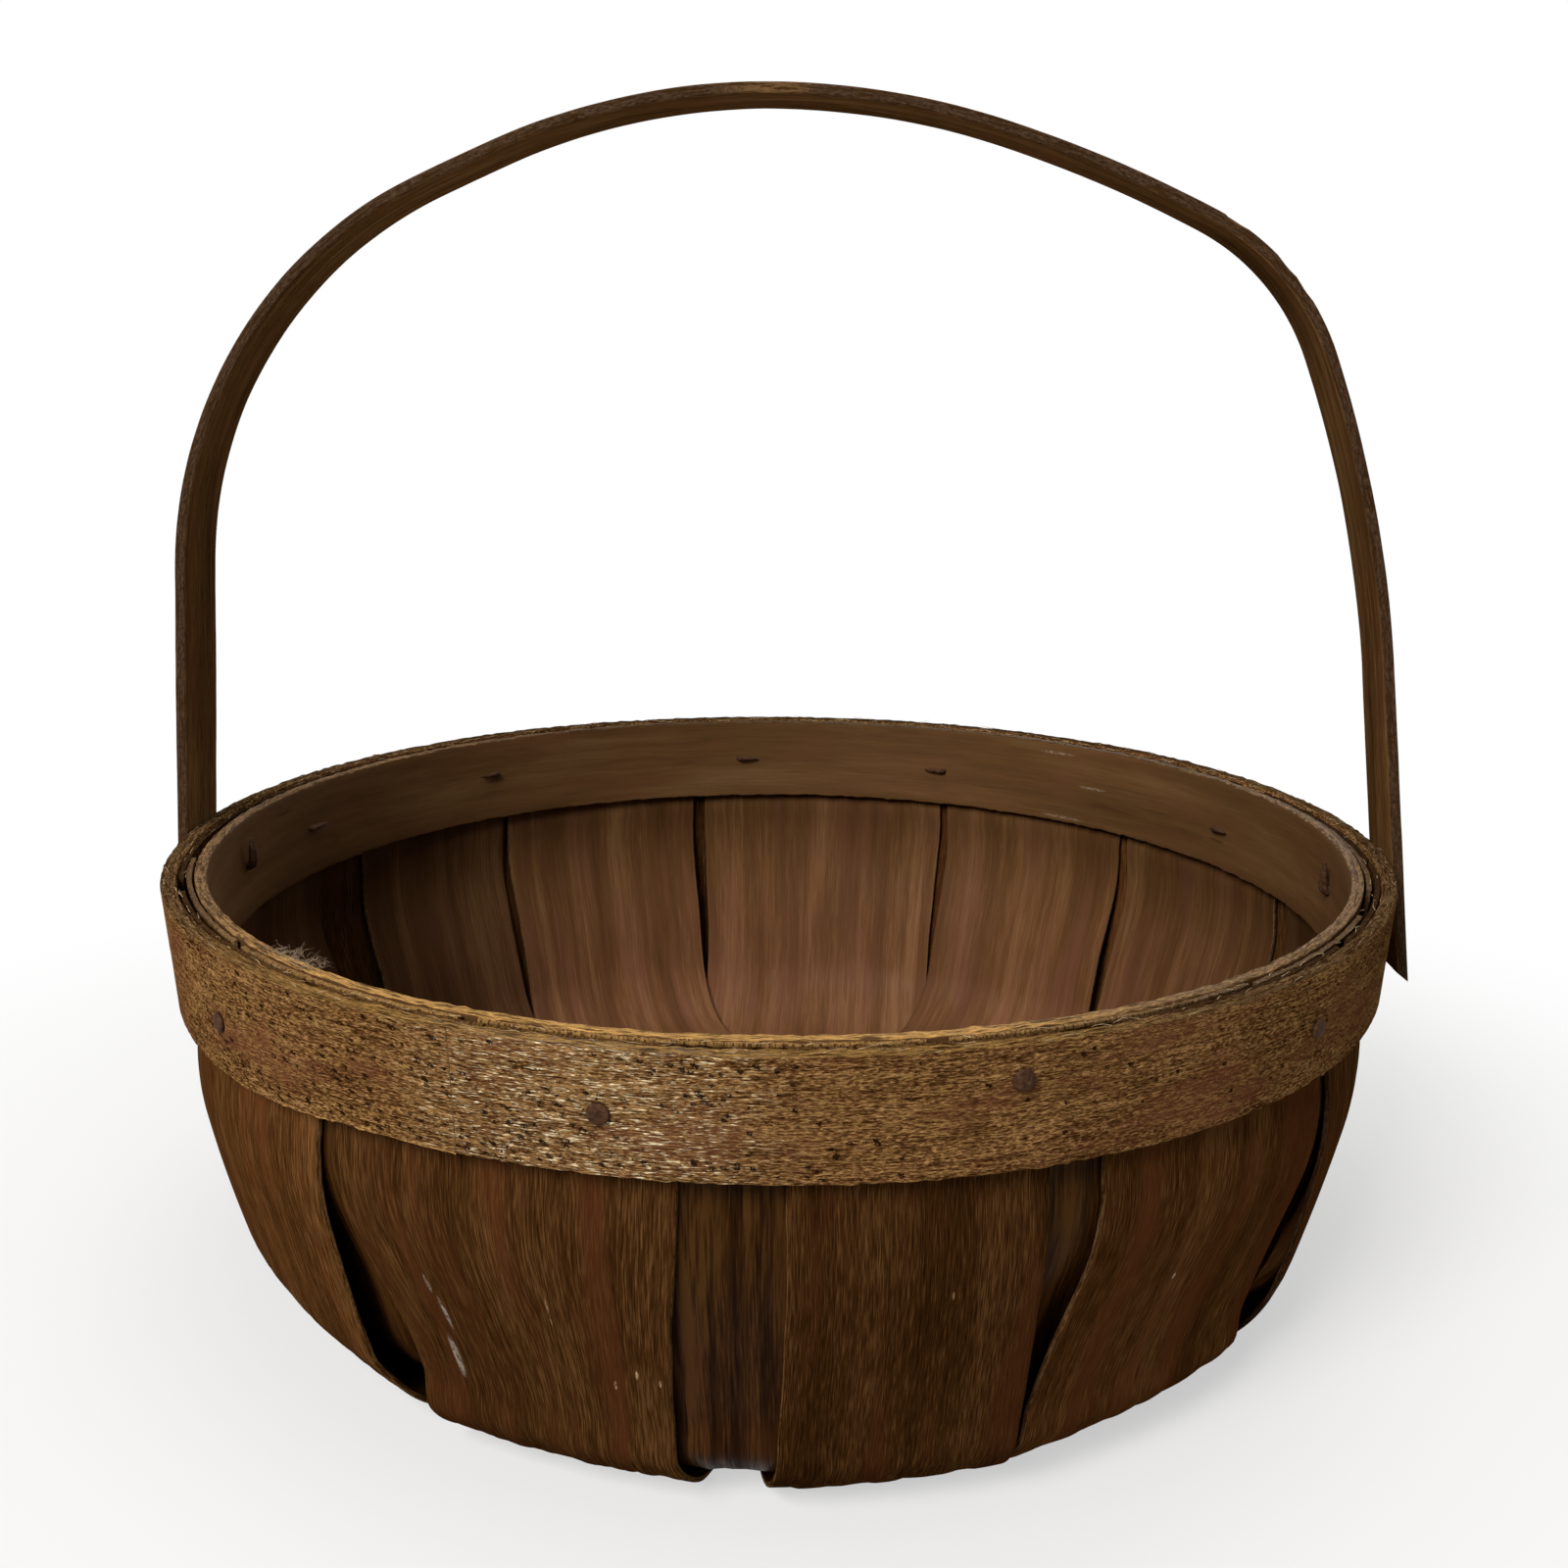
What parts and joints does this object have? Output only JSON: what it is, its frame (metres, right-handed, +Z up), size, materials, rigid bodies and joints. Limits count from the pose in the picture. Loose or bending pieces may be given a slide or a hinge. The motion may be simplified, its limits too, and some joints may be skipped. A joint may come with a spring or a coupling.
{
  "type": "splint gathering basket",
  "caption": "Round shallow basket of crossing wood splints clamped between an inner and an outer hoop, with a swinging bentwood handle nailed to the rim.",
  "frame": {"origin": "on the ground under the middle of the floor, on the underside of the lowest splint", "axes": "+Z up out of the mouth, the front that the picture shows towards -Y, +X to its right along the handle"},
  "size_m": [0.3443, 0.3298, 0.3132],
  "materials": {
    "hoop_wood": "raw weathered wood, open pores, golden where the cut edge is bare",
    "lining_wood": "satin, darkened by age",
    "splint_wood": "dark stained splint, fine straight grain",
    "handle_wood": "dark, worn smooth",
    "rusted_iron": "rusted"
  },
  "bodies": {
    "basket": {"outer_hoop": "hoop_wood", "inner_hoop": "lining_wood", "wall_splint_1": "splint_wood", "wall_splint_2": "splint_wood", "wall_splint_3": "splint_wood", "wall_splint_4": "splint_wood", "wall_splint_5": "splint_wood", "wall_splint_6": "splint_wood", "lining_splint_1": "lining_wood", "lining_splint_2": "lining_wood", "lining_splint_3": "lining_wood", "lining_splint_4": "lining_wood", "lining_splint_5": "lining_wood", "lining_splint_6": "lining_wood", "tack_1": "rusted_iron", "tack_2": "rusted_iron", "tack_3": "rusted_iron", "tack_4": "rusted_iron", "tack_5": "rusted_iron", "tack_6": "rusted_iron", "tack_7": "rusted_iron", "tack_8": "rusted_iron", "tack_9": "rusted_iron", "handle_nail_left": "rusted_iron", "handle_nail_right": "rusted_iron"},
    "handle_strip": {"handle": "handle_wood"}
  },
  "joints": [
    {"name": "handle_swing", "type": "hinge", "parent": "basket", "child": "handle_strip", "pos_m": [0, -0.005, 0.104], "axis": [0.9984, -0.0558, 0], "range_deg": [-109, 111]}
  ]
}
